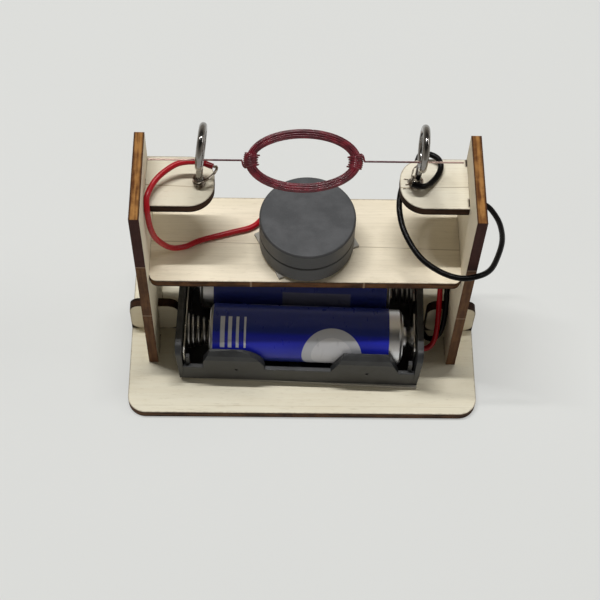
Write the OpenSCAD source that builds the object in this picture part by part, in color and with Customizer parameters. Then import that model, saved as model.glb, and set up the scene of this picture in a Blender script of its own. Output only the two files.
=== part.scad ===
// Demonstration electric motor: a wire coil turning in two screw eyes above a
// pair of disc magnets, on a laser-cut plywood stand with a twin cell holder.
// Millimetres. X runs along the axle, Y to the back, Z up.
// The origin is the middle of the base's underside.

/* [Plywood] */
// Thickness of the plywood sheet
ply_t = 2.4; // [2:0.1:3]
// Play around each tab in its slot
kerf = 0.05; // [0.02:0.01:0.12]
// Length of a tab on the side plates and the shelf
tab_l = 5; // [4:0.5:6]

/* [Base] */
// Width of the base
base_w = 90; // [86:1:100]
// Depth of the base
base_d = 45; // [42:1:56]
// Radius of the base's corners
base_corner_r = 4.7; // [2:0.1:8]

/* [Side plates] */
// Distance over the outer faces of the side plates
span = 80; // [79:0.5:83]
// Height of the side plates above the base
plate_h = 68.1; // [66:0.1:74]
// Depth of the side plates
plate_d = 24; // [23:0.5:26]
// Middle of the side plates, behind the base's middle
plate_y = 4; // [3.5:0.1:4.5]

/* [Feet] */
// Reach of a foot inside its side plate
foot_reach = 5.2; // [4.2:0.1:5.6]
// Height of a foot
foot_h = 11.6; // [10:0.1:13]
// Middle of the feet, behind the base's middle
foot_y = 3.4; // [3:0.1:4]
// Radius of a foot's upper corners
foot_corner_r = 2.8; // [1:0.1:3.5]

/* [Shelf] */
// Height of the shelf's top above the base's underside
shelf_top = 40.8; // [40.2:0.1:42]
// Depth of the shelf
shelf_d = 24.2; // [23.6:0.1:26]
// Middle of the shelf, behind the base's middle
shelf_y = 6; // [5.8:0.1:6.2]
// Radius of the shelf's corners
shelf_corner_r = 2; // [1:0.1:3]

/* [Brackets] */
// Height of the brackets' top above the base's underside
bracket_top = 61.6; // [61:0.1:63]
// Reach of a bracket from its side plate
bracket_l = 16; // [15:0.1:17]
// Depth of a bracket
bracket_d = 14; // [13.6:0.1:15]
// Middle of the brackets, behind the base's middle
bracket_y = 8.6; // [8.4:0.1:8.8]
// Radius of a bracket's free corners
bracket_corner_r = 6; // [4:0.1:6.5]
// Width of a bracket's tabs
bracket_tab = 2.6; // [2:0.1:3]

/* [Screw eyes] */
// Wire diameter of a screw eye
eye_wire_d = 1.7; // [1.5:0.05:1.8]
// Outer diameter of the ring
eye_d = 11; // [10.4:0.1:11.6]
// Height of the ring's middle above the bracket
eye_rise = 14.9; // [14.4:0.1:16]
// Length of the point that stands out under the bracket
eye_point = 1.2; // [0.6:0.1:2]
// Distance of the screw from the bracket's free end
eye_inset = 3.6; // [3:0.1:4.2]
// Middle of the screws, behind the base's middle
eye_y = 7.8; // [7.6:0.1:8]
// Lean of the left screw eye to the right
left_eye_lean = 4.2; // [-2:0.2:5]
// Lean of the right screw eye to the right
right_eye_lean = 2.2; // [-2:0.2:5]
// Turn of the left ring out of square with the axle
left_eye_turn = 4.6; // [-5:0.2:5]
// Turn of the right ring out of square with the axle
right_eye_turn = 3; // [-5:0.2:5]

/* [Magnets] */
// Diameter of a disc magnet
magnet_d = 23; // [20:0.5:23.5]
// Thickness of a disc magnet
magnet_t = 5.5; // [4:0.1:5.8]
// Bevel on a magnet's rims
magnet_bevel = 0.4; // [0.2:0.05:0.8]
// Middle of the magnets, to the right
magnet_x = 0.3; // [-0.5:0.1:1]
// Middle of the magnets, to the back
magnet_y = 5.1; // [4.9:0.1:5.2]
// Length of the adhesive pad under the magnets
pad_l = 21.6; // [18:0.1:22]
// Width of the adhesive pad under the magnets
pad_w = 13.9; // [12:0.1:14.5]
// Thickness of the adhesive pad under the magnets
pad_t = 0.8; // [0.4:0.05:1]
// Turn of the adhesive pad
pad_turn = 26; // [15:1:35]

/* [Armature] */
// Diameter of the enamelled wire
wire_d = 0.42; // [0.38:0.01:0.46]
// Length of the coil along the axle, in the middle of its winding
coil_l = 24; // [21:0.1:24.6]
// Width of the coil, in the middle of its winding
coil_w = 12.2; // [11.4:0.1:13]
// Step from turn to turn within a layer
turn_step = 0.85; // [0.84:0.005:0.9]
// Step from layer to layer
layer_step = 0.85; // [0.84:0.005:0.9]
// Middle of the coil along the axle, to the right of the stand's middle
coil_x = -1.2; // [-3:0.1:3]
// Tilt of the coil at rest, from level
coil_tilt = 35; // [0:1:60]
// Turns of the wire's tail round each end of the coil
wrap_turns = 2.5; // [1.5:0.5:2.5]
// Reach of the left axle from the middle
axle_left = 36.2; // [33:0.1:37]
// Reach of the right axle from the middle
axle_right = 35; // [33:0.1:37]
// Lean of the axle to the front of the rings' lowest point
axle_lean = 22; // [0:1:30]
// Play between the axle and the rings
axle_gap = 0.05; // [0.02:0.01:0.1]

/* [Cell holder] */
// Length of the holder at its floor
holder_l = 61.4; // [61.2:0.1:62]
// Width of the holder
holder_w = 33.4; // [33.2:0.1:34.4]
// Height of the holder's end walls
holder_h = 14.6; // [14.4:0.1:16]
// Height of the low part of its long walls
holder_low_h = 6; // [5:0.1:7]
// Height of the lobes that flank the cells
lobe_h = 13.2; // [12:0.1:13.6]
// Thickness of the holder's floor
floor_t = 1.4; // [1:0.1:1.6]
// Thickness of the holder's walls
wall_t = 1.1; // [0.9:0.05:1.3]
// Lean of the end walls at their top
flare = 0.7; // [0.3:0.05:0.9]
// Middle of the holder, to the right
holder_x = -0.6; // [-1:0.1:0]
// Middle of the holder, to the back
holder_y = 2.9; // [2.6:0.1:3.2]
// Turn of the holder on the base
holder_turn = -1.6; // [-2:0.1:0]
// Distance of the lobes' outer ends from the holder's middle
lobe_end = 24.8; // [24:0.1:26]
// Width of the gap for a finger, between the lobes
finger_gap = 15.4; // [14:0.1:17]
// Length of the foam pad under the holder
foam_l = 58; // [54:0.5:60]
// Width of the foam pad under the holder
foam_w = 25; // [22:0.5:26]
// Thickness of the foam pad under the holder
foam_t = 1; // [0.6:0.1:1.4]
// Shift of the foam pad to the right of the holder's middle
foam_right = 1.8; // [0:0.1:2]
// Shift of the foam pad to the front of the holder's middle
foam_front = 4.4; // [3:0.1:5]
// Turn of the foam pad on the base
foam_turn = -2.6; // [-4:0.1:0]

/* [Cells] */
// Diameter of a cell
cell_d = 14.5; // [14:0.05:14.6]
// Length of a cell's body
cell_l = 49.2; // [48.6:0.1:49.6]
// Distance between the cells' axes
cell_pitch = 14.9; // [14.8:0.05:15]
// Diameter of a cell's positive button
button_d = 5.5; // [5:0.1:6]
// Height of a cell's positive button
button_h = 1.2; // [1:0.1:1.4]
// Thickness of a cell's sleeve
sleeve_t = 0.13; // [0.1:0.01:0.2]
// Bare band between the sleeve and the positive end
bare_l = 3.6; // [2:0.1:6]
// Shift of a cell towards its positive end
cell_shift = 1.6; // [1.4:0.1:1.8]
// Play between a cell and its trough
cell_gap = 0.1; // [0.05:0.01:0.14]

/* [Contacts] */
// Thickness of the contact strips
strip_t = 0.4; // [0.3:0.05:0.45]
// Height of the contact strips
strip_h = 10; // [9:0.1:11]
// Width of the two single contacts
strip_w = 11; // [10:0.5:12]
// Wire diameter of the contact springs
spring_d = 0.7; // [0.6:0.05:0.8]
// Diameter of a spring at its foot, in the middle of the wire
spring_wide = 8.6; // [8:0.1:10]
// Diameter of a spring at its tip, in the middle of the wire
spring_tip = 6; // [5:0.1:7]
// Turns of a spring
spring_turns = 4; // [3:0.5:4]

/* [Leads] */
// Diameter of an insulated lead
lead_d = 1.4; // [1.2:0.05:1.5]
// Diameter of a bared strand bundle
strand_d = 0.6; // [0.5:0.05:0.65]
// Turns of a bared end round its screw
twist_turns = 2; // [1:0.5:2.5]

/* [Hidden] */
$fn = 48;

// Colours of the materials
wood_face = "#d8ccae";
burnt_edge = "#8a5a33";
steel = "#b9b9b4";
ferrite = "#55575c";
copper_red = "#7a1a22";
black_plastic = "#2b2c2e";
label_blue = "#1d2566";

// Small overlap that lets two shapes join, or a cut pass right through
eps = 0.01;

// Stand
plate_in = span / 2 - ply_t;
plate_front = plate_y - plate_d / 2;
tab_front_y = plate_front + 3;
tab_back_y = plate_front + plate_d - 3 - tab_l;
lap_h = foot_h / 2;
shelf_tabs = [plate_y - plate_d / 4 - tab_l / 2, plate_y + plate_d / 4 - tab_l / 2];
bracket_front = bracket_y - bracket_d / 2;
bracket_tabs = [bracket_front + 0.5, bracket_front + bracket_d - 4 - bracket_tab];

// Screw eyes and axle
eye_x = plate_in - bracket_l + eye_inset;
eye_ring_r = (eye_d - eye_wire_d) / 2;
eye_z = bracket_top + eye_rise;
axle_drop = eye_ring_r - eye_wire_d / 2 - wire_d / 2 - axle_gap;
axle_y = eye_y - axle_drop * sin(axle_lean);
axle_z = eye_z - axle_drop * cos(axle_lean);

// Winding: two layers, spiralling in and out again
coil_turns = 4.5;
spread = turn_step * coil_turns / 4;
coil_end_r = pow(coil_w, 2) / coil_l / 2;
coil_end_x = coil_l / 2 - coil_end_r;
bundle_r = sqrt(pow(spread, 2) + pow(layer_step / 2, 2)) + wire_d / 2;
wrap_r = bundle_r + 0.06 + wire_d / 2;
wrap_step = 30.6;
axle_start = coil_l / 2 + wrap_r + wire_d / 2 + 0.03;

// Magnets
magnet_z = shelf_top + pad_t;

// Holder, cells and contacts, in the holder's own frame
cell_r = cell_d / 2;
cell_y = cell_pitch / 2;
cell_z = floor_t + cell_gap + cell_r;
wall_in = holder_w / 2 - wall_t;
lobe_in = cell_y + cell_r + 0.15;
end_in = holder_l / 2 - wall_t;
strip_x = end_in - 0.1 - strip_t;
strip_z = floor_t + 0.1;
contact_gap = 0.05;
body_end = cell_l / 2 + cell_shift;
base_end = cell_l / 2 - cell_shift;
can_r = cell_r - sleeve_t - 0.02;
cap_t = 0.3;
lug_l = 2.6;
lug_w = 2.4;
lug_z = floor_t + 1.2;

// Leads: the routes' points, chosen by hand along what they lie on
red_route = [[-21.8, 9.6, 66.2], [-25.2, 10.6, 66.6], [-29.6, 10.6, 66], [-33, 8.9, 65],
             [-35.4, 6.4, 64.2], [-36.8, 2.8, 63.8], [-36.8, 0.4, 62.2], [-36.7, -0.3, 59.4],
             [-36.4, -0.6, 55.5], [-35.4, 0, 50], [-32.6, 1.3, 44.2], [-29.2, 3, 41.9],
             [-25.6, 5, 41.6], [-18.4, 7.3, 41.6], [-12.8, 9.2, 41.6], [-9.5, 13, 41.6],
             [-6.4, 16, 42], [-3, 18.6, 42.1], [0.5, 20.3, 40], [5, 20.6, 37.4],
             [11, 20.4, 35.8], [18, 20, 34.6], [24.5, 19.2, 33], [30, 17, 30],
             [33.6, 12, 26.5], [35, 7.5, 22.5], [35.1, 4.6, 18.8], [35, 2, 15.9],
             [34.9, -0.8, 12.4], [34.5, -3.2, 9.2], [33.7, -4.6, 7.4], [32.7, -5.2, 6.5],
             [31.5, -5.4, 6.2]];
black_route = [[24, 6.2, 65], [25.3, 5.9, 64.7], [26.8, 6.1, 64.2], [28.1, 7.2, 63.3],
               [29.5, 9, 62.7], [30.7, 10.9, 62.7], [31.2, 12.8, 62.9], [30.6, 14.4, 63.4],
               [29.1, 15.4, 63.6], [27.5, 16.1, 63], [26.6, 16.7, 61.6], [26.3, 16.9, 59.8],
               [26, 16.5, 58], [24.8, 14.8, 56.6], [23, 12.6, 55.6],
               [22.1, 9.2, 54.4], [22.1, 5.4, 53.4], [23.3, 0.6, 52.4], [26.6, -5, 51.2],
               [31.2, -8.4, 50.3], [36, -10, 50], [40.2, -9.4, 50], [43.3, -6.9, 48.6],
               [45.4, -2.8, 47], [47.3, 3, 45], [47.8, 8, 43], [47.2, 12.5, 41.5],
               [45.2, 17, 40], [42, 19.3, 38.2], [38.8, 19, 36.4], [36.8, 16.8, 34.2],
               [36.8, 13.2, 31], [36.8, 9, 26], [36.8, 5.2, 20.5], [36.8, 2, 15.8],
               [36.5, -0.5, 11.4], [35.8, -1.8, 8.6], [34.6, -2.3, 6.6], [33.1, -1.9, 5.5],
               [31.9, -0.5, 5.2], [31.3, 2, 5.3], [31.2, 5.2, 5.8], [31.2, 8, 6.2]];

// --- Functions ---------------------------------------------------------

function unit(v) = v / norm(v);
function tangent(path, i) =
    unit(path[min(i + 1, len(path) - 1)] - path[max(i - 1, 0)]);
function square_to(v, t) = unit(v - (v * t) * t);
// Frames that don't twist: each normal is the last one, squared up again
function normals(path, seed) =
    [for (i = 0, n = square_to(seed, tangent(path, 0)); i < len(path);
          i = i + 1, n = i < len(path) ? square_to(n, tangent(path, i)) : n) n];
function route_length(path) =
    len(path) < 2 ? 0 : norm_sum([for (i = [1:len(path) - 1]) norm(path[i] - path[i - 1])]);
function norm_sum(list) = list * [for (v = list) 1];
// Least gap of a tube to itself: points of one turn against the turns beside it
function self_gap(path, d, per_turn) =
    min([for (i = [0:len(path) - 1])
         for (j = [i + ceil(per_turn * 0.6):1:min(len(path) - 1, i + ceil(per_turn * 3.2))])
         norm(path[i] - path[j])]) - d;

// Winding's radius and height offsets after t turns
function spiral_out(t) = spread - turn_step * (t < coil_turns / 2 ? t : coil_turns - t);
function spiral_up(t) =
    layer_step * (min(max((t - coil_turns / 2) / 0.5 + 0.5, 0), 1) - 0.5);
function winding_point(t) =
    let (a = 180 + 360 * t, o = spiral_out(t))
    [(coil_l / 2 + o) * cos(a), (coil_w / 2 + o) * sin(a), spiral_up(t)];
rings_per_loop = 24;
winding_loops = [for (i = [0:coil_turns * rings_per_loop]) winding_point(i / rings_per_loop)];
winding_path = straight_ends(winding_loops, wire_d);

// A path with a straight run of length l added at each end
function straight_ends(path, l) =
    concat([path[0] - l * unit(path[1] - path[0])], path,
           [path[len(path) - 1] + l * unit(path[len(path) - 1] - path[len(path) - 2])]);

// Wrap: turns round the bundle where it bends at the end of the coil
wrap_loops = [for (i = [-wrap_turns * rings_per_loop / 2:wrap_turns * rings_per_loop / 2])
              let (turn = i / rings_per_loop, bend = wrap_step * turn,
                   r = coil_end_r + wrap_r * cos(360 * turn))
              [coil_end_x + r * cos(bend), r * sin(bend), wrap_r * sin(360 * turn)]];
wrap_path = straight_ends(wrap_loops, wire_d);

// Spring: a cone of turns from its foot at x = 0 to its tip at x = length
rings_per_curl = 8;
spring_length = strip_x - base_end - 2 * contact_gap;
spring_rise = spring_length - spring_d;
spring_curls =
    [for (i = [0:spring_turns * rings_per_curl])
     let (t = i / (spring_turns * rings_per_curl), a = 360 * i / rings_per_curl,
          r = (spring_wide + (spring_tip - spring_wide) * t) / 2)
     [spring_d / 2 + spring_rise * t, r * cos(a), r * sin(a)]];
spring_path = straight_ends(spring_curls, spring_d);

// Bared end: turns up the screw from the bracket, then a tail to the lead's end
rings_per_twist = 12;
twist_r = eye_wire_d / 2 + strand_d / 2 + 0.12;
twist_step = strand_d + 0.45;
function leaned(p, angle) =
    [p.x * cos(angle) + p.z * sin(angle), p.y, p.z * cos(angle) - p.x * sin(angle)];
function twist_loops(start, lean) =
    [for (i = [0:twist_turns * rings_per_twist])
     let (a = start + 360 * i / rings_per_twist, z = strand_d / 2 + 0.1 + twist_step * i / rings_per_twist)
     leaned([twist_r * cos(a), twist_r * sin(a), z], lean)];
left_tail = [[1.3, -1.2, 2.9], [2.6, -0.5, 3.4], [3.7, 0.4, 4], [4.2, 1.2, 4.4],
             [4.2, 1.7, 4.6], [3.7, 1.8, 4.6]];
right_tail = [[-1.75, -0.2, 2.9], [-1.95, -1, 3.2], [-1.7, -1.45, 3.4], [-1.4, -1.6, 3.45]];
left_twist_path = concat(twist_loops(-90, left_eye_lean), left_tail);
right_twist_path = concat(twist_loops(150, right_eye_lean), right_tail);

// --- Shared shapes -----------------------------------------------------

// A tube swept along a path, as one closed skin of triangles
module tube(path, d, sides, seed) {
    last = len(path) - 1;
    n = normals(path, seed);
    points = [for (i = [0:last])
              let (t = tangent(path, i), b = cross(t, n[i]))
              for (j = [0:sides - 1])
              path[i] + d / 2 * (cos(360 * j / sides) * n[i] + sin(360 * j / sides) * b)];
    faces = concat(
        [for (i = [0:last - 1]) for (j = [0:sides - 1])
         [i * sides + j, (i + 1) * sides + j, (i + 1) * sides + (j + 1) % sides]],
        [for (i = [0:last - 1]) for (j = [0:sides - 1])
         [i * sides + j, (i + 1) * sides + (j + 1) % sides, i * sides + (j + 1) % sides]],
        [for (j = [1:sides - 2]) [0, j, j + 1]],
        [for (j = [1:sides - 2]) [last * sides, last * sides + j + 1, last * sides + j]]);
    polyhedron(points, faces);
}

// A flat outline with rounded corners, built from squares and circles
module rounded_rect(w, d, r) {
    square([w - 2 * r, d], center = true);
    square([w, d - 2 * r], center = true);
    for (x = [-1, 1], y = [-1, 1])
        translate([x * (w / 2 - r), y * (d / 2 - r)]) circle(r);
}

// A sheet cut in the YZ plane, with its outer face at x
module upright_sheet(x, t) {
    translate([x, 0, 0]) rotate([90, 0, 90]) linear_extrude(t) children();
}

// A sheet cut in the XZ plane, centred on y
module cross_sheet(y, t) {
    translate([0, y + t / 2, 0]) rotate([90, 0, 0]) linear_extrude(t) children();
}

// What belongs to one side: -1 is the left side, 1 the right side
module on_side(side) {
    if (side > 0) children();
    else mirror([1, 0, 0]) children();
}

module in_holder() {
    translate([holder_x, holder_y, ply_t + foam_t]) rotate([0, 0, holder_turn]) children();
}

// A cell's own frame: its axis along X, its positive end at +X.
// row -1 is the front cell, 1 the rear cell, which lies the other way round.
module in_cell(row) {
    in_holder() translate([0, row * cell_y, cell_z])
        rotate([0, 0, row > 0 ? 180 : 0]) children();
}

// A screw's own frame, on the bracket's top, with the screw's axis along Z
module at_screw(side) {
    translate([side * eye_x, eye_y, bracket_top])
        rotate([0, side > 0 ? right_eye_lean : left_eye_lean, 0]) children();
}

module in_coil() {
    translate([coil_x, axle_y, axle_z]) rotate([coil_tilt, 0, 0]) children();
}

// --- Plywood stand -----------------------------------------------------

module base_plate() {
    color(wood_face) difference() {
        linear_extrude(ply_t) rounded_rect(base_w, base_d, base_corner_r);
        for (side = [-1, 1], y = [tab_front_y, tab_back_y])
            on_side(side) translate([plate_in - kerf, y - kerf, -eps])
                cube([ply_t + 2 * kerf, tab_l + 2 * kerf, ply_t + 2 * eps]);
    }
}

module side_plate(side) {
    color(burnt_edge) on_side(side) upright_sheet(plate_in, ply_t) difference() {
        union() {
            translate([plate_front, ply_t]) square([plate_d, plate_h]);
            for (y = [tab_front_y, tab_back_y]) translate([y, 0]) square([tab_l, ply_t + eps]);
        }
        // lap for the foot
        translate([foot_y - ply_t / 2 - kerf, ply_t - eps])
            square([ply_t + 2 * kerf, lap_h + kerf + eps]);
        // slots for the shelf's and the bracket's tabs
        for (y = shelf_tabs) translate([y - kerf, shelf_top - ply_t - kerf])
            square([tab_l + 2 * kerf, ply_t + 2 * kerf]);
        for (y = bracket_tabs) translate([y - kerf, bracket_top - ply_t - kerf])
            square([bracket_tab + 2 * kerf, ply_t + 2 * kerf]);
    }
}

module foot(side) {
    foot_w = base_w / 2 - plate_in + foot_reach;
    color(wood_face) on_side(side) cross_sheet(foot_y, ply_t) difference() {
        translate([plate_in - foot_reach, ply_t]) union() {
            square([foot_w, foot_h - foot_corner_r]);
            translate([foot_corner_r, 0]) square([foot_w - 2 * foot_corner_r, foot_h]);
            for (x = [foot_corner_r, foot_w - foot_corner_r])
                translate([x, foot_h - foot_corner_r]) circle(foot_corner_r);
        }
        // lap for the side plate
        translate([plate_in - kerf, ply_t + lap_h])
            square([ply_t + 2 * kerf, foot_h]);
    }
}

module shelf() {
    color(wood_face) translate([0, 0, shelf_top - ply_t]) linear_extrude(ply_t) {
        translate([0, shelf_y]) rounded_rect(2 * plate_in - 2 * kerf, shelf_d, shelf_corner_r);
        for (y = shelf_tabs) translate([-span / 2, y]) square([span, tab_l]);
    }
}

module bracket(side) {
    color(wood_face) difference() {
        on_side(side) translate([0, 0, bracket_top - ply_t]) linear_extrude(ply_t) {
            translate([plate_in - bracket_l, bracket_front]) {
                translate([bracket_corner_r, 0])
                    square([bracket_l - bracket_corner_r - kerf, bracket_d]);
                translate([0, bracket_corner_r])
                    square([bracket_l - kerf, bracket_d - 2 * bracket_corner_r]);
                for (y = [bracket_corner_r, bracket_d - bracket_corner_r])
                    translate([bracket_corner_r, y]) circle(bracket_corner_r);
            }
            for (y = bracket_tabs)
                translate([plate_in - kerf - eps, y]) square([ply_t + kerf + eps, bracket_tab]);
        }
        // hole for the screw
        at_screw(side) translate([0, 0, -ply_t - 1])
            cylinder(d = eye_wire_d + 2 * kerf, h = ply_t + 2);
    }
}

// --- Screw eyes --------------------------------------------------------

module screw_eye(side) {
    shank_top = eye_rise - eye_ring_r;
    color(steel) at_screw(side) {
        translate([0, 0, eye_rise]) rotate([0, 0, side > 0 ? -right_eye_turn : -left_eye_turn])
            rotate([0, 90, 0]) rotate_extrude() translate([eye_ring_r, 0]) circle(d = eye_wire_d);
        // shank, with a point at its lower end
        translate([0, 0, -ply_t - eye_point]) rotate_extrude() polygon([
            [0, 0], [eye_wire_d * 0.3, 0.8], [eye_wire_d / 2 - 0.05, 1.6],
            [eye_wire_d / 2 - 0.05, ply_t + eye_point + shank_top],
            [0, ply_t + eye_point + shank_top]]);
    }
}

// --- Magnets -----------------------------------------------------------

module magnet_pad() {
    color("white") translate([magnet_x, magnet_y + 0.5, shelf_top]) rotate([0, 0, pad_turn])
        translate([-pad_l / 2, -pad_w / 2, 0]) cube([pad_l, pad_w, pad_t]);
}

module magnet(z) {
    color(ferrite) translate([magnet_x, magnet_y, z]) rotate_extrude($fn = 96) polygon([
        [0, 0], [magnet_d / 2 - magnet_bevel, 0], [magnet_d / 2, magnet_bevel],
        [magnet_d / 2, magnet_t - magnet_bevel], [magnet_d / 2 - magnet_bevel, magnet_t],
        [0, magnet_t]]);
}

// --- Armature ----------------------------------------------------------

module armature_winding() {
    color(copper_red) in_coil() tube(winding_path, wire_d, 6, [0, 0, 1]);
}

module wrap(side) {
    color(copper_red) in_coil() rotate([0, 0, side > 0 ? 0 : 180])
        tube(wrap_path, wire_d, 6, [1, 0, 0]);
}

module axle(side, reach) {
    start = axle_start + side * coil_x;
    color(copper_red) translate([0, axle_y, axle_z]) rotate([0, side * 90, 0])
        translate([0, 0, start]) cylinder(d = wire_d, h = reach - start, $fn = 24);
}

// --- Cell holder -------------------------------------------------------

module holder_foam_pad() {
    color("white") translate([holder_x + foam_right, holder_y - foam_front, ply_t])
        rotate([0, 0, foam_turn]) translate([-foam_l / 2, -foam_w / 2, 0])
            cube([foam_l, foam_w, foam_t]);
}

// The lobes' outline seen from the front, one tall lobe to each side of the middle:
// the left one falls to the finger gap in a quarter of an ellipse, the right one in a slope
module lobe_outline() {
    near = finger_gap / 2;
    round_l = 7.6;
    crown = near + round_l + 1;
    round_z = lobe_h - 7.2;
    polygon(concat(
        [[-near, 0], [-lobe_end + 0.4, 0], [-lobe_end + 0.4, lobe_h - 4.2],
         [-lobe_end + 2, lobe_h - 0.3], [-crown, lobe_h]],
        [for (a = [15:15:90]) [-crown + round_l * sin(a), round_z + 7.2 * cos(a)]]));
    polygon([[near, 0], [near + 0.5, holder_low_h], [near + 3.5, lobe_h - 0.4],
             [near + 4.7, lobe_h], [lobe_end - 3, lobe_h], [lobe_end - 1.8, lobe_h - 0.6],
             [lobe_end + 0.6, holder_low_h + 0.5], [lobe_end + 0.6, 0]]);
}

// The lobes' section across the holder: upright, then turned in over the cell
module lobe_section() {
    out = holder_w / 2;
    turn_in = min(1.1, out - lobe_in - 0.4);
    polygon([[lobe_in, 0], [out, 0], [out, lobe_h - 3.2], [out - turn_in * 0.3, lobe_h - 1.5],
             [out - turn_in, lobe_h - 0.3], [lobe_in + 0.2, lobe_h], [lobe_in, lobe_h - 0.2]]);
}

module lobes() {
    intersection() {
        translate([0, -lobe_in + eps, 0]) rotate([90, 0, 0])
            linear_extrude(holder_w) lobe_outline();
        rotate([90, 0, 90]) translate([0, 0, -holder_l / 2])
            linear_extrude(holder_l) mirror([1, 0]) lobe_section();
    }
}

module end_wall() {
    corner = 2.6;
    intersection() {
        translate([0, holder_w / 2, 0]) rotate([90, 0, 0]) linear_extrude(holder_w)
            polygon([[end_in, 0], [holder_l / 2, 0], [holder_l / 2 + flare, holder_h],
                     [end_in + 0.2, holder_h]]);
        rotate([90, 0, 90]) linear_extrude(holder_l) {
            translate([-holder_w / 2, 0]) square([holder_w, holder_h - corner]);
            translate([-holder_w / 2 + corner, 0]) square([holder_w - 2 * corner, holder_h]);
            for (y = [-1, 1]) translate([y * (holder_w / 2 - corner), holder_h - corner])
                circle(corner);
        }
    }
}

module cell_holder() {
    rib_h = 5.2;
    rib_w = 3;
    rib_step = 18;
    rib_shift = -1;
    ridge_w = 2.6;
    mark_z = 5.4;
    post_y = wall_in - 0.4;
    color(black_plastic) in_holder() difference() {
        union() {
            // floor and low walls
            translate([-holder_l / 2, -holder_w / 2, 0]) cube([holder_l, holder_w, floor_t]);
            for (row = [-1, 1])
                translate([-end_in, row * (holder_w / 2 - wall_t / 2) - wall_t / 2, 0])
                    cube([2 * end_in, wall_t, holder_low_h]);
            for (turn = [0, 180]) rotate([0, 0, turn]) {
                lobes();
                end_wall();
            }
            // cradle ribs and the ridge between the cells, cut to the cells' round
            difference() {
                union() {
                    for (x = [-rib_step, 0, rib_step])
                        translate([x + rib_shift - rib_w / 2, -wall_in - eps, 0])
                            cube([rib_w, 2 * wall_in + 2 * eps, rib_h]);
                    translate([-rib_step - 4, -ridge_w / 2, 0])
                        cube([2 * rib_step + 8, ridge_w, rib_h]);
                }
                for (row = [-1, 1]) translate([-holder_l / 2, row * cell_y, cell_z])
                    rotate([0, 90, 0]) cylinder(r = cell_r + cell_gap, h = holder_l, $fn = 64);
            }
            // posts that keep the contacts upright against the end walls
            for (side = [-1, 1], y = [-post_y, post_y])
                translate([side * (strip_x - 0.7) - 0.5, y - 0.6, 0])
                    cube([1, 1.2, strip_h - 0.5]);
        }
        // slots for the two solder lugs
        for (row = [-1, 1])
            translate([end_in - 1, row * cell_y - lug_w / 2 - 0.1, lug_z - 0.1])
                cube([wall_t + 2.5, lug_w + 0.2, strip_t + 0.2]);
        // ejector marks on the front lobes
        for (x = [-finger_gap / 2 - 8.3, finger_gap / 2 + 9.8])
            translate([x, -holder_w / 2 - eps, mark_z]) rotate([-90, 0, 0])
                cylinder(d = 0.8, h = 0.25, $fn = 16);
    }
}

// --- Contacts ----------------------------------------------------------

// A dimple pressed towards the cell's button, in the cell's row
module dimple(length) {
    rotate([0, -90, 0]) rotate_extrude() polygon([
        [0, 0], [3, 0], [2.6, length * 0.45], [1.5, length], [0, length]]);
}

module strip(w) {
    translate([strip_x, -w / 2, strip_z]) cube([strip_t, w, strip_h]);
}

module bridge_contact() {
    color(steel) in_holder() rotate([0, 0, 180]) {
        strip(2 * wall_in - 0.3);
        translate([strip_x + eps, -cell_y, cell_z])
            dimple(strip_x - body_end - button_h - contact_gap + eps);
    }
}

module positive_contact() {
    color(steel) in_holder() translate([0, -cell_y, 0]) {
        strip(strip_w);
        translate([strip_x + eps, 0, cell_z])
            dimple(strip_x - body_end - button_h - contact_gap + eps);
        lug();
    }
}

module negative_contact() {
    color(steel) in_holder() translate([0, cell_y, 0]) {
        strip(strip_w);
        lug();
    }
}

module lug() {
    translate([strip_x + strip_t - eps, -lug_w / 2, lug_z]) cube([lug_l + eps, lug_w, strip_t]);
}

// Each spring stands on its strip, on the axis of its own row
module contact_spring(row) {
    color(steel) in_holder() translate([row * strip_x, row * cell_y, cell_z])
        rotate([0, 0, row > 0 ? 180 : 0]) translate([contact_gap, 0, 0])
            tube(spring_path, spring_d, 6, [1, 0, 0]);
}

// --- Cells -------------------------------------------------------------

module cell_can(row) {
    color(steel) in_cell(row) translate([-base_end + cap_t, 0, 0]) rotate([0, 90, 0])
        rotate_extrude($fn = 64) polygon([
            [0, 0], [can_r - 0.6, 0], [can_r, 0.6], [can_r, cell_l - 2 * cap_t - 0.6],
            [can_r - 0.6, cell_l - 2 * cap_t], [0, cell_l - 2 * cap_t]]);
}

module cell_sleeve(row) {
    color(label_blue) in_cell(row) translate([-base_end + cap_t + 0.6, 0, 0])
        rotate([0, 90, 0]) difference() {
            cylinder(r = cell_r, h = cell_l - bare_l - cap_t - 0.6, $fn = 64);
            translate([0, 0, -eps])
                cylinder(r = cell_r - sleeve_t, h = cell_l - bare_l - cap_t - 0.6 + 2 * eps, $fn = 64);
        }
}

module cell_button(row) {
    color(steel) in_cell(row) translate([body_end - cap_t, 0, 0]) rotate([0, 90, 0])
        rotate_extrude() polygon([
            [0, 0], [can_r - 1.2, 0], [can_r - 1.2, cap_t], [button_d / 2 + 0.3, cap_t],
            [button_d / 2, cap_t + 0.3], [button_d / 2, cap_t + button_h - 0.3],
            [button_d / 2 - 0.3, cap_t + button_h], [0, cap_t + button_h]]);
}

module cell_base_cap(row) {
    color(steel) in_cell(row) translate([-base_end, 0, 0]) rotate([0, 90, 0])
        cylinder(r = can_r - 1, h = cap_t);
}

// --- Leads -------------------------------------------------------------

module red_lead() {
    color("#b3141c") tube(red_route, lead_d, 8, [0, 0, 1]);
}

module black_lead() {
    color("#1b1b1c") tube(black_route, lead_d, 8, [0, 0, 1]);
}

module twist(side, path) {
    color(steel) translate([side * eye_x, eye_y, bracket_top]) tube(path, strand_d, 6, [0, 0, 1]);
}

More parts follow.
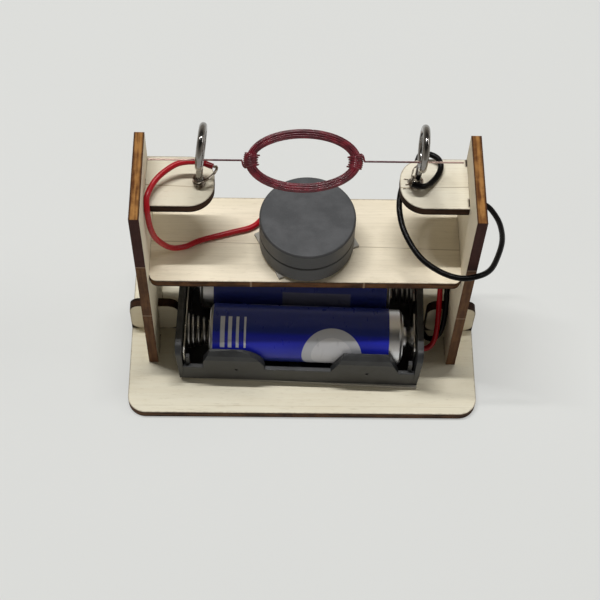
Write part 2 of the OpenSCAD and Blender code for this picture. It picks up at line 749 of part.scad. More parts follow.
echo(least_gap_in_winding = self_gap(winding_loops, wire_d, rings_per_loop));
echo(least_gap_in_wrap = self_gap(wrap_loops, wire_d, rings_per_loop));
echo(least_gap_in_spring = self_gap(spring_curls, spring_d, rings_per_curl));
echo(least_gap_in_left_twist = self_gap(left_twist_path, strand_d, rings_per_twist));
echo(least_gap_in_right_twist = self_gap(right_twist_path, strand_d, rings_per_twist));
echo(red_length = route_length(red_route), black_length = route_length(black_route));
echo(axle = [axle_y, axle_z], eye = [eye_x, eye_y, eye_z], spring_length = spring_length);

base_plate();
side_plate(-1);  // left_side_plate
side_plate(1);  // right_side_plate
foot(-1);  // left_foot
foot(1);  // right_foot
shelf();
bracket(-1);  // left_bracket
bracket(1);  // right_bracket
screw_eye(-1);  // left_screw_eye
screw_eye(1);  // right_screw_eye
magnet_pad();
magnet(magnet_z);  // lower_magnet
magnet(magnet_z + magnet_t);  // upper_magnet
armature_winding();
wrap(-1);  // left_wrap
wrap(1);  // right_wrap
axle(-1, axle_left);  // left_axle
axle(1, axle_right);  // right_axle
holder_foam_pad();
cell_holder();
bridge_contact();
positive_contact();
negative_contact();
contact_spring(-1);  // front_spring
contact_spring(1);  // rear_spring
cell_can(-1);  // front_cell_can
cell_sleeve(-1);  // front_cell_sleeve
cell_button(-1);  // front_cell_button
cell_base_cap(-1);  // front_cell_base_cap
cell_can(1);  // rear_cell_can
cell_sleeve(1);  // rear_cell_sleeve
cell_button(1);  // rear_cell_button
cell_base_cap(1);  // rear_cell_base_cap
red_lead();
black_lead();
twist(-1, left_twist_path);  // left_twist
twist(1, right_twist_path);  // right_twist
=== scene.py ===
import math
import random

import bpy
from mathutils import Matrix, Vector


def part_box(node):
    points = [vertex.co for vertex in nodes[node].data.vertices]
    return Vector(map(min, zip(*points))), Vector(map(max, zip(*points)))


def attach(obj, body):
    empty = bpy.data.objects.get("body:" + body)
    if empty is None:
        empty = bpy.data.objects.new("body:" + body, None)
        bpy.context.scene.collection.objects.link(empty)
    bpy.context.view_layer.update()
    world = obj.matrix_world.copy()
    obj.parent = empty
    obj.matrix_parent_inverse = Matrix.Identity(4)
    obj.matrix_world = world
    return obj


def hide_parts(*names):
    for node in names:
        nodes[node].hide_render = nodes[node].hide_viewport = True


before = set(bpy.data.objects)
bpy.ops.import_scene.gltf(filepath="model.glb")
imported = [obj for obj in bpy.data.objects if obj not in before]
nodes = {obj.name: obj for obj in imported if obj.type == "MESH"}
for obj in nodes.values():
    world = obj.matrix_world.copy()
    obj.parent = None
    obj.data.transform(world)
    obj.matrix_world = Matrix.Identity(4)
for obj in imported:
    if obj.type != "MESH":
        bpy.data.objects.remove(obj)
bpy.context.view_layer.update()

# Demonstration electric motor. Sizes are in millimetres and become metres where meshes are made.
mm = 0.001

cameraView = {
    "lens": 87.842,
    "sensor": 36,
    "place": (-7.079, -185.002, 343.159),
    "pitch": -1.0483,
    "yaw": 0.0331,
    "roll": 0.0382,
}


def makeCamera(s):
    flat = math.cos(s["pitch"])
    ahead = Vector((math.sin(s["yaw"]) * flat, math.cos(s["yaw"]) * flat, math.sin(s["pitch"])))
    right = Vector((math.cos(s["yaw"]), -math.sin(s["yaw"]), 0))
    up = right.cross(ahead)
    across = right * math.cos(s["roll"]) + up * math.sin(s["roll"])
    above = up * math.cos(s["roll"]) - right * math.sin(s["roll"])
    camera = bpy.data.objects.new("camera", bpy.data.cameras.new("camera"))
    camera.data.lens = s["lens"]
    camera.data.sensor_width = s["sensor"]
    turned = Matrix((across, above, -ahead)).transposed().to_4x4()
    camera.matrix_world = Matrix.Translation(Vector(s["place"]) * mm) @ turned
    bpy.context.scene.collection.objects.link(camera)
    bpy.context.scene.camera = camera


makeCamera(cameraView)
print("camera placed")


def smoothPath(points, steps):
    # a Catmull-Rom curve through the points, which keeps each of them
    points = [Vector(p) for p in points]
    ends = [points[0] * 2 - points[1]] + points + [points[-1] * 2 - points[-2]]
    made = []
    for a, b, c, d in zip(ends, ends[1:], ends[2:], ends[3:]):
        for i in range(steps):
            t = i / steps
            made.append(0.5 * (2 * b + (c - a) * t + (2 * a - 5 * b + 4 * c - d) * t ** 2
                               + (3 * b - a - 3 * c + d) * t ** 3))
    return made + [points[-1]]


def pathLength(path):
    return sum((b - a).length for a, b in zip(path, path[1:]))


def squareFrames(path):
    # two directions square to the path at each point, carried along it without twist
    frames = []
    normal = Vector((0.31, 0.2, 0.93))
    for i, point in enumerate(path):
        ahead = (path[min(i + 1, len(path) - 1)] - path[max(i - 1, 0)]).normalized()
        normal = (normal - ahead * normal.dot(ahead)).normalized()
        frames.append((point, normal.copy(), ahead.cross(normal)))
    return frames


def makeTubes(name, paths, radius, sides=4):
    # one curve object with a round tube along each path, in millimetres
    curve = bpy.data.curves.new(name, "CURVE")
    curve.dimensions = "3D"
    curve.bevel_depth = 1
    curve.bevel_resolution = sides
    curve.use_fill_caps = True
    for path in paths:
        spline = curve.splines.new("POLY")
        spline.points.add(len(path) - 1)
        for point, place in zip(spline.points, path):
            point.co = (*(Vector(place) * mm), 1)
            point.radius = radius * mm
    made = bpy.data.objects.new(name, curve)
    bpy.context.scene.collection.objects.link(made)
    return made


def makeMesh(name, points, faces):
    mesh = bpy.data.meshes.new(name)
    mesh.from_pydata([Vector(p) * mm for p in points], [], faces)
    mesh.validate()
    made = bpy.data.objects.new(name, mesh)
    bpy.context.scene.collection.objects.link(made)
    return made


class Value:
    # one socket of a shader; arithmetic on it adds nodes
    def __init__(self, shader, socket):
        self.shader = shader
        self.socket = socket

    def out(self, name):
        return Value(self.shader, self.socket.node.outputs[name])

    def math(self, operation, *others):
        return self.shader.node("Math", {"operation": operation}, [self, *others])

    def reflected(self, operation, other):
        return self.shader.node("Math", {"operation": operation}, [other, self])

    def __add__(self, other):
        return self.math("ADD", other)

    def __sub__(self, other):
        return self.math("SUBTRACT", other)

    def __mul__(self, other):
        return self.math("MULTIPLY", other)

    def __truediv__(self, other):
        return self.math("DIVIDE", other)

    def __radd__(self, other):
        return self.reflected("ADD", other)

    def __rsub__(self, other):
        return self.reflected("SUBTRACT", other)

    def __rmul__(self, other):
        return self.reflected("MULTIPLY", other)

    def __rtruediv__(self, other):
        return self.reflected("DIVIDE", other)

    def fade(self, low, high):
        # 0 at low, 1 at high, with a smooth run between
        return self.shader.node("MapRange", {"interpolation_type": "SMOOTHSTEP"},
                                {"Value": self, "From Min": low, "From Max": high})


class Shader:
    def __init__(self, name, **constants):
        self.material = bpy.data.materials.new(name)
        self.material.use_nodes = True
        self.tree = self.material.node_tree
        self.surface = self.tree.nodes["Principled BSDF"]
        for socket, value in constants.items():
            self.set(socket, value)

    def set(self, socket, value):
        # a socket's name is written as one word here: baseColor for Base Color
        spaced = "".join(" " + c if c.isupper() else c for c in socket).title()
        spaced = {"Ior": "IOR", "Specular Ior Level": "Specular IOR Level"}.get(spaced, spaced)
        self.feed(self.surface.inputs[spaced], value)

    def feed(self, socket, value):
        if isinstance(value, Value):
            self.tree.links.new(value.socket, socket)
        elif socket.type == "RGBA" and len(value) == 3:
            socket.default_value = (*value, 1)
        else:
            socket.default_value = value

    def node(self, kind, settings=None, inputs=()):
        made = self.tree.nodes.new("ShaderNode" + kind)
        for name, value in (settings or {}).items():
            setattr(made, name, value)
        if isinstance(inputs, dict):
            for name, value in inputs.items():
                self.feed(made.inputs[name], value)
        else:
            for socket, value in zip([s for s in made.inputs if s.enabled], inputs):
                self.feed(socket, value)
        return Value(self, next(s for s in made.outputs if s.enabled))

    def mix(self, factor, first, second):
        return self.node("Mix", {"data_type": "RGBA"}, [factor, first, second])

    def place(self):
        # where a point lies on the piece, in millimetres
        here = self.node("TexCoord").out("Object")
        return self.stretch(here, (1000, 1000, 1000))

    def stretch(self, vector, scale):
        return self.node("VectorMath", {"operation": "MULTIPLY"}, [vector, scale])

    def inFrame(self, vector, origin, turn):
        return self.node("Mapping", {"vector_type": "TEXTURE"},
                         {"Vector": vector, "Location": origin, "Rotation": turn})

    def axes(self, vector):
        split = self.node("SeparateXYZ", inputs=[vector])
        return split.out("X"), split.out("Y"), split.out("Z")

    def facing(self):
        return self.axes(self.node("TexCoord").out("Normal"))

    def noise(self, vector, scale, detail=2, rough=0.5, distortion=0):
        return self.node("TexNoise", inputs={
            "Vector": vector, "Scale": scale, "Detail": detail, "Roughness": rough,
            "Distortion": distortion}).out("Fac")

    def bump(self, height, depth, normal=None):
        # depth is in millimetres
        inputs = {"Height": height, "Distance": depth * mm, "Strength": 1}
        if normal:
            inputs["Normal"] = normal
        return self.node("Bump", inputs=inputs)

    def rounded(self, radius):
        return self.node("Bevel", {"samples": 6}, {"Radius": radius * mm})


def dress(piece, shader):
    piece.data.materials.clear()
    piece.data.materials.append(shader.material)


def dressNodes(shader, *names):
    for name in names:
        dress(nodes[name], shader)


leads = {
    "diameter": 1.4,
    "smoothing": 6,
    "redColour": (0.46, 0.005, 0.014),
    "blackColour": (0.0035, 0.003, 0.003),
    "redGloss": 0.28,
    "blackGloss": 0.1,
    "darkeningNear": 1.2,  # how far from the bared end the darkening is full, and where it ends
    "darkeningFar": 5,
    "endColourScale": 0.3,
    "redRoute": [
        (-21.8, 9.6, 66.2), (-25.2, 10.6, 66.6), (-29.6, 10.6, 66), (-33, 8.9, 65),
        (-35.4, 6.4, 64.2), (-36.8, 2.8, 63.8), (-36.8, 0.4, 62.2), (-36.7, -0.3, 59.4),
        (-36.4, -0.6, 55.5), (-35.4, 0, 50), (-32.6, 1.3, 44.2), (-29.2, 3, 41.9),
        (-25.6, 5, 41.6), (-18.4, 7.3, 41.6), (-12.8, 9.2, 41.6), (-9.5, 13, 41.6),
        (-6.4, 16, 42), (-3, 18.6, 42.1), (0.5, 20.3, 40), (5, 20.6, 37.4),
        (11, 20.4, 35.8), (18, 20, 34.6), (24.5, 19.2, 33), (30, 17, 30),
        (33.6, 12, 26.5), (35, 7.5, 22.5), (35.1, 4.6, 18.8), (35, 2, 15.9),
        (34.9, -0.8, 12.4), (34.5, -3.2, 9.2), (33.7, -4.6, 7.4), (32.7, -5.2, 6.5),
        (31.5, -5.4, 6.2),
    ],
    "blackRoute": [
        (24, 6.2, 65), (25.3, 5.9, 64.7), (26.8, 6.1, 64.2), (28.1, 7.2, 63.3),
        (29.5, 9, 62.7), (30.7, 10.9, 62.7), (31.2, 12.8, 62.9), (30.6, 14.4, 63.4),
        (29.1, 15.4, 63.6), (27.5, 16.1, 63), (26.6, 16.7, 61.6), (26.3, 16.9, 59.8),
        (26, 16.5, 58), (24.8, 14.8, 56.6), (23, 12.6, 55.6), (22.1, 9.2, 54.4),
        (22.1, 5.4, 53.4), (23.3, 0.6, 52.4), (26.6, -5, 51.2), (31.2, -8.4, 50.3),
        (36, -10, 50), (40.2, -9.4, 50), (43.3, -6.9, 48.6), (45.4, -2.8, 47),
        (47.3, 3, 45), (47.8, 8, 43), (47.2, 12.5, 41.5), (45.2, 17, 40),
        (42, 19.3, 38.2), (38.8, 19, 36.4), (36.8, 16.8, 34.2), (36.8, 13.2, 31),
        (36.8, 9, 26), (36.8, 5.2, 20.5), (36.8, 2, 15.8), (36.5, -0.5, 11.4),
        (35.8, -1.8, 8.6), (34.6, -2.3, 6.6), (33.1, -1.9, 5.5), (31.9, -0.5, 5.2),
        (31.3, 2, 5.3), (31.2, 5.2, 5.8), (31.2, 8, 6.2),
    ],
}


def insulation(name, colour, gloss, bareEnd):
    # the sleeve is darker towards its bared end
    shader = Shader(name, specularIorLevel=gloss)
    here = shader.place()
    fromEnd = shader.node("VectorMath", {"operation": "DISTANCE"}, [here, bareEnd])
    nearEnd = 1 - fromEnd.fade(leads["darkeningNear"], leads["darkeningFar"])
    tone = shader.noise(here, 0.35, 3) * 0.5 + nearEnd * 0.5
    shader.set("baseColor", shader.mix(tone, colour, [c * leads["endColourScale"] for c in colour]))
    shader.set("roughness", 0.2 + shader.noise(here, 2.4, 4) * 0.2)
    shader.set("normal", shader.bump(shader.noise(here, 1.1, 3), 0.05))
    return shader


def makeLead(name, route, shader, node):
    path = smoothPath(route, leads["smoothing"])
    lead = makeTubes(name, [path], leads["diameter"] / 2, sides=6)
    dress(lead, shader)
    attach(lead, "stand")
    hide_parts(node)
    return lead, path


redShader = insulation("redInsulation", leads["redColour"], leads["redGloss"],
                       leads["redRoute"][0])
blackShader = insulation("blackInsulation", leads["blackColour"], leads["blackGloss"],
                         leads["blackRoute"][0])
redLead, redPath = makeLead("redLead", leads["redRoute"], redShader, "red_lead")
blackLead, blackPath = makeLead("blackLead", leads["blackRoute"], blackShader,
                                "black_lead")
print("leads laid")


strands = {
    "count": 7,
    "radius": 0.1,
    "bundle": 0.2,
    "lay": 2.4,  # length of one twist of the strands
    "loopRadius": 1.27,
    "loopStep": 1.05,
    "loopStart": 0.4,
    "turns": 2,
    "stepsPerTurn": 28,
    "partedShare": 0.14,  # the share of a wire's length over which it parts from the others
    "parting": (0.1, 0.32),
    "wobble": 0.03,
    "wobbleRate": 5,
    "wobbleStep": 2.1,  # from one wire to the next
    "tailSmoothing": 5,
    "looseSmoothing": 6,
    "leftTail": [(1.3, -1.2, 2.9), (2.6, -0.5, 3.4), (3.7, 0.4, 4), (4.2, 1.2, 4.4),
                 (4.2, 1.7, 4.6), (3.7, 1.8, 4.6), (3, 2, 4.65)],
    "rightTail": [(-1.75, -0.2, 2.9), (-1.95, -1, 3.2), (-1.7, -1.45, 3.4), (-1.4, -1.6, 3.45),
                  (-0.8, -1.65, 3.4)],
    # loose strands of the right lead: two stand up beside the shank and three lie out on the wood
    "loose": [
        [(-0.9, -1.6, 3.4), (-1.3, -1.6, 3.5), (-1.6, -1.45, 4.2), (-1.3, -1.35, 5.6),
         (-1.55, -1.5, 7.3), (-1.4, -1.3, 8.8), (-1, -1.4, 9.9), (-0.55, -1.35, 10.4)],
        [(-0.9, -1.7, 3.3), (-1.3, -1.7, 3.4), (-1.35, -1.6, 4.6), (-1.55, -1.25, 6.2),
         (-1.3, -1.5, 7.8), (-1.2, -1.2, 9.1), (-0.8, -1.5, 9.9)],
        [(-0.9, 0.9, 0.6), (-1.4, 1.5, 0.35), (-2, 1.9, 0.2), (-2.7, 2, 0.15)],
        [(-1.2, 0.3, 0.5), (-1.7, 0.45, 0.25), (-2.4, 0.4, 0.14)],
        [(-1.1, -0.5, 0.5), (-1.6, -0.7, 0.2), (-2.3, -0.65, 0.12), (-3, -0.75, 0.16)],
    ],
    "dull": (0.16, 0.12, 0.085),
    "bright": (0.62, 0.56, 0.48),
}

screws = {"x": 25.2, "y": 7.8, "foot": 61.6, "leftLean": 4.2, "rightLean": 2.2}


def onScrew(side, point, leans=True):
    # a point given from where the screw's axis enters its bracket
    lean = math.radians(screws["leftLean"] if side < 0 else screws["rightLean"])
    x, y, z = point
    if leans:
        x, z = x * math.cos(lean) + z * math.sin(lean), z * math.cos(lean) - x * math.sin(lean)
    return Vector((side * screws["x"] + x, screws["y"] + y, screws["foot"] + z))


def screwLoops(side, start, s):
    steps = s["turns"] * s["stepsPerTurn"]
    made = []
    for i in range(steps + 1):
        turn = i / s["stepsPerTurn"]
        angle = math.radians(start) + math.tau * turn
        made.append(onScrew(side, (s["loopRadius"] * math.cos(angle),
                                   s["loopRadius"] * math.sin(angle),
                                   s["loopStart"] + s["loopStep"] * turn)))
    return made


def strandPaths(path, s, seed):
    # fine wires laid round the path; they part a little at the loose end, which is its start
    draw = random.Random(seed)
    frames = squareFrames(path)
    total = pathLength(path)
    made = []
    for k in range(s["count"]):
        phase = math.tau * k / (s["count"] - 1)
        out = 0 if k == s["count"] - 1 else s["bundle"]
        parting = draw.uniform(*s["parting"])
        wire = []
        run = 0
        for i, (point, first, second) in enumerate(frames):
            if i:
                run += (path[i] - path[i - 1]).length
            parted = max(0, s["partedShare"] - run / total) / s["partedShare"]
            angle = phase + math.tau * run / s["lay"]
            wobble = s["wobble"] * math.sin(s["wobbleRate"] * run + s["wobbleStep"] * k)
            reach = out + parting * parted ** 2 + wobble
            wire.append(point + (first * math.cos(angle) + second * math.sin(angle)) * reach)
        made.append(wire)
    return made


def makeStrands(name, side, start, tail, seed, node, loose=()):
    tailPoints = [onScrew(side, p, False) for p in tail]
    path = screwLoops(side, start, strands) + smoothPath(tailPoints, strands["tailSmoothing"])
    wires = strandPaths(path, strands, seed)
    for wire in loose:
        wires.append(smoothPath([onScrew(side, p, False) for p in wire], strands["looseSmoothing"]))
    made = makeTubes(name, wires, strands["radius"], sides=2)
    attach(made, "stand")
    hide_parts(node)
    return made


leftStrands = makeStrands("leftStrands", -1, -90, strands["leftTail"], 4, "left_twist")
rightStrands = makeStrands("rightStrands", 1, 150, strands["rightTail"], 9, "right_twist",
                           strands["loose"])

strandShader = Shader("strandMetal", metallic=1.0)
strandPlace = strandShader.place()
tinned = strandShader.noise(strandPlace, 0.9, 3).fade(0.44, 0.66)
strandShader.set("baseColor", strandShader.mix(tinned, strands["dull"], strands["bright"]))
strandShader.set("roughness", 0.25 + strandShader.noise(strandPlace, 3, 2) * 0.25)
dress(leftStrands, strandShader)
dress(rightStrands, strandShader)

pathLength(redPath) * mm
pathLength(blackPath) * mm
print("bared ends twisted")


armature = {
    "place": (-1.2, 6.474, 73.218),  # the coil's middle, on the axle's line
    "tilt": 35,
    "halfLength": 12,
    "halfWidth": 6.1,
    "wire": 0.42,
    "spacing": 0.44,
    "wander": 0.05,
    "wanderOut": (2, 1.9),  # waves in a turn, and the shift from one turn to the next
    "wanderUp": (3, 2.7),
    "climbFrom": 0.85,  # a turn holds its place up to here, then climbs to the next
    "stepsPerTurn": 60,
    "wrapTurns": 8,
    "wrapStep": 6.6,  # degrees of the bend for each turn
    "wrapLean": 0.45,  # how much of the bend the turns lean with
    "wrapRadius": 1.34,
    "wrapLift": 0.3,  # every other turn rides higher inside the bend
    "wrapSteps": 20,
    "axleStart": 13.767,
    # the wrap's last points, from where the axle starts
    "tail": [(-0.34, 1.3, 0.12), (-0.14, 0.8, 0.12), (-0.02, 0.25, 0.06), (0.15, 0, 0)],
    "tailSmoothing": 6,
    "colour": (0.068, 0.0036, 0.009),
    "colourLight": (0.165, 0.010, 0.020),
    "scraped": (21, 23),  # from the stand's middle, where the enamel starts to be scraped
    "bare": (25.5, 27.5),  # and where little of it is left
    "bareShare": 0.85,
    "bareColour": (0.52, 0.37, 0.31),
}


def inCoil(points, s):
    turned = Matrix.Rotation(math.radians(s["tilt"]), 3, "X")
    return [turned @ Vector(p) + Vector(s["place"]) for p in points]


def packedPlaces(spacing):
    # the middle, then rings of six and twelve: where the turns lie in the bundle's section
    places = [(0, 0)]
    for ring in (1, 2):
        for k in range(6 * ring):
            side, along = divmod(k, ring)
            a, b = math.radians(60 * side), math.radians(60 * side + 120)
            places.append((spacing * (ring * math.cos(a) + along * math.cos(b)),
                           spacing * (ring * math.sin(a) + along * math.sin(b))))
    return places


def wandering(waves, t, turn, s):
    rate, shift = waves
    return s["wander"] * math.sin(math.tau * rate * t + shift * turn)


def windingPath(s):
    places = packedPlaces(s["spacing"])
    made = []
    for k, (out, up) in enumerate(places):
        nextOut, nextUp = places[min(k + 1, len(places) - 1)]
        for i in range(s["stepsPerTurn"]):
            t = i / s["stepsPerTurn"]
            move = max(0, (t - s["climbFrom"]) / (1 - s["climbFrom"]))
            move = move * move * (3 - 2 * move)
            a = out + (nextOut - out) * move + wandering(s["wanderOut"], t, k, s)
            b = up + (nextUp - up) * move + wandering(s["wanderUp"], t, k, s)
            angle = math.pi + math.tau * t
            made.append(((s["halfLength"] + a) * math.cos(angle),
                         (s["halfWidth"] + a) * math.sin(angle), b))
    return made


def wrapPath(s):
    # from inside the coil's right end round the bundle, to a tail that meets the axle
    bendRadius = s["halfWidth"] ** 2 / s["halfLength"]
    middle = s["halfLength"] - bendRadius
    steps = s["wrapSteps"]
    half = s["wrapTurns"] / 2
    made = []
    for i in range(-int((half + 0.5) * steps), int(half * steps) + 1):
        turn = i / steps
        bend = math.radians(s["wrapStep"] * turn)
        lean = bend * s["wrapLean"]
        around = math.tau * turn
        inner = (1 - math.cos(around)) / 2
        odd = math.floor(turn) % 2
        reach = s["wrapRadius"] + s["wrapLift"] * odd * inner ** 2
        out = reach * math.cos(around) / math.cos(bend - lean)
        made.append((middle + bendRadius * math.cos(bend) + out * math.cos(lean),
                     bendRadius * math.sin(bend) + out * math.sin(lean), reach * math.sin(around)))
    tail = [(s["axleStart"] + x, y, z) for x, y, z in s["tail"]]
    return made + smoothPath([made[-1], *tail], s["tailSmoothing"])[1:]


def makeCoilPiece(name, path, node, s):
    piece = makeTubes(name, [inCoil(path, s)], s["wire"] / 2, sides=3)
    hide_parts(node)
    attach(piece, "armature")
    dress(piece, enamel)
    # the coil turns fast in the photograph, and throws no still shade
    piece.visible_shadow = False


def makeArmature(s):
    wrap = wrapPath(s)
    makeCoilPiece("coilWinding", windingPath(s), "armature_winding", s)
    makeCoilPiece("rightWrap", wrap, "right_wrap", s)
    makeCoilPiece("leftWrap", [(-x, -y, z) for x, y, z in wrap], "left_wrap", s)


enamel = Shader("wineEnamel", specularIorLevel=0.4, coatWeight=0.2, coatRoughness=0.15)
enamelPlace = enamel.place()
paler = enamel.noise(enamelPlace, 0.5, 3).fade(0.35, 0.7)
enamel.set("baseColor", enamel.mix(paler, armature["colour"], armature["colourLight"]))
enamel.set("roughness", 0.25 + enamel.noise(enamelPlace, 1.6, 3) * 0.25)
makeArmature(armature)

axleShader = Shader("axleWire", roughness=0.32)
axlePlace = axleShader.place()
fromMiddle = axleShader.axes(axlePlace)[0].math("ABSOLUTE")
patches = axleShader.noise(axleShader.stretch(axlePlace, (0.5, 2, 2)), 1, 3).fade(0.42, 0.66)
bareEnds = fromMiddle.fade(*armature["bare"]) * armature["bareShare"]
scraped = fromMiddle.fade(*armature["scraped"]) * patches.math("MAXIMUM", bareEnds)
axleShader.set("baseColor", axleShader.mix(scraped, armature["colour"], armature["bareColour"]))
axleShader.set("metallic", scraped)
dressNodes(axleShader, "left_axle", "right_axle")
# the axles throw no shadow; it is painted instead as a dark line on each bracket
for name in ("left_axle", "right_axle"):
    nodes[name].visible_shadow = False
print("armature wound")


springs = {
    "holder": (-0.6, 2.9, 3.4),
    "turn": -1.6,
    "stripX": 29.1,
    "rowY": 7.45,
    "axisZ": 8.75,
    "gap": 0.05,
    "wire": 0.7,
    "wide": 8.6,
    "tip": 6,
    "length": 6,
    "turns": 4,
    "stepsPerTurn": 36,
    "evenShare": 0.12,  # of the rise; the rest opens out towards the tip
    "opening": 1.25,
    "metal": (0.40, 0.39, 0.37),
}


def inHolder(points):
    turned = Matrix.Rotation(math.radians(springs["turn"]), 3, "Z")
    return [turned @ Vector(p) + Vector(springs["holder"]) for p in points]


def makeSpring(name, row, node, s):
    # row -1 is the front spring, on the left strip; row 1 the rear one, on the right strip
    steps = s["turns"] * s["stepsPerTurn"]
    points = []
    for i in range(steps + 1):
        t = i / steps
        angle = math.tau * s["turns"] * t
        reach = (s["wide"] + (s["tip"] - s["wide"]) * t) / 2
        climb = s["evenShare"] * t + (1 - s["evenShare"]) * t ** s["opening"]
        rise = s["gap"] + s["wire"] / 2 + (s["length"] - s["wire"]) * climb
        points.append((row * (s["stripX"] - rise), row * s["rowY"] - row * reach * math.cos(angle),
                       s["axisZ"] + reach * math.sin(angle)))
    spring = makeTubes(name, [inHolder(points)], s["wire"] / 2, sides=4)
    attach(spring, "stand")
    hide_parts(node)
    return spring


frontSpring = makeSpring("frontSpring", -1, "front_spring", springs)
rearSpring = makeSpring("rearSpring", 1, "rear_spring", springs)

nickel = Shader("nickelStrip", metallic=1.0, baseColor=springs["metal"])
nickelPlace = nickel.place()
nickel.set("roughness", 0.2 + nickel.noise(nickel.stretch(nickelPlace, (1, 1, 6)), 0.8, 3) * 0.2)
nickel.set("normal", nickel.bump(nickel.noise(nickelPlace, 0.8, 2), 0.04, nickel.rounded(0.12)))
dressNodes(nickel, "bridge_contact", "positive_contact", "negative_contact")
dress(frontSpring, nickel)
dress(rearSpring, nickel)
print("springs coiled")


plywood = {
    "pale": (0.78, 0.715, 0.565),
    "warm": (0.66, 0.585, 0.43),
    "dark": (0.36, 0.28, 0.17),
    "scorch": (0.13, 0.075, 0.04),
    "char": (0.022, 0.014, 0.010),
    "scorchWidth": 0.35,
    "scorchShare": 0.6,
    "tick": (0.36, 0.25, 0.17),
    "tickShare": 0.75,
    # how long and how wide the marks of each kind run, along and across the grain
    "bands": (60, 5),
    "fine": (14, 0.5),
    "pores": (2.6, 0.14),
    "sway": (22, 40),
    "gaps": (9, 3),
    "bandShare": 0.4,
    "fineShare": 0.4,
    "poreShare": 0.3,
    "roundedEdge": 0.1,
    "past": 9,  # how far an outline runs on where its corners aren't rounded
}


def edgeDistance(shader, u, v, low, high, radius):
    # distance in from the outline of a rectangle with rounded corners
    halfU, halfV = (high[0] - low[0]) / 2, (high[1] - low[1]) / 2
    overU = (u - (low[0] + high[0]) / 2).math("ABSOLUTE") - (halfU - radius)
    overV = (v - (low[1] + high[1]) / 2).math("ABSOLUTE") - (halfV - radius)
    cornerU, cornerV = overU.math("MAXIMUM", 0), overV.math("MAXIMUM", 0)
    corner = (cornerU * cornerU + cornerV * cornerV).math("SQRT")
    return radius - corner - overU.math("MAXIMUM", overV).math("MINIMUM", 0)


def slotInset(u, v, low, high):
    # distance out from a square slot in the sheet
    offU = (u - (low[0] + high[0]) / 2).math("ABSOLUTE") - (high[0] - low[0]) / 2
    offV = (v - (low[1] + high[1]) / 2).math("ABSOLUTE") - (high[1] - low[1]) / 2
    return offU.math("MAXIMUM", offV)


def burntEdge(shader, here, axes, thin, low, high, edge):
    # a laser-cut edge: clouds and streaks along the cut, dark lines beside the two faces
    depth = (axes[thin] - low) / (high - low)
    streaked = shader.stretch(here, [1.5 if i == thin else 0.13 for i in range(3)])
    streaks = shader.noise(streaked, 1, 3)
    cloud = shader.noise(here, 0.3, 4, 0.6)
    blotch = shader.noise(here, 0.16, 2).fade(0.56, 0.68)
    mottled = (cloud * 0.45 + streaks * 0.55).fade(0.36, 0.6)
    burnt = shader.mix(mottled * (1 - blotch * 0.6), edge["dark"], edge["light"])
    rim = (depth - 0.5).math("ABSOLUTE").fade(0.25, 0.45)
    return shader.mix(rim * edge["rim"], burnt, edge["rimColour"]), mottled


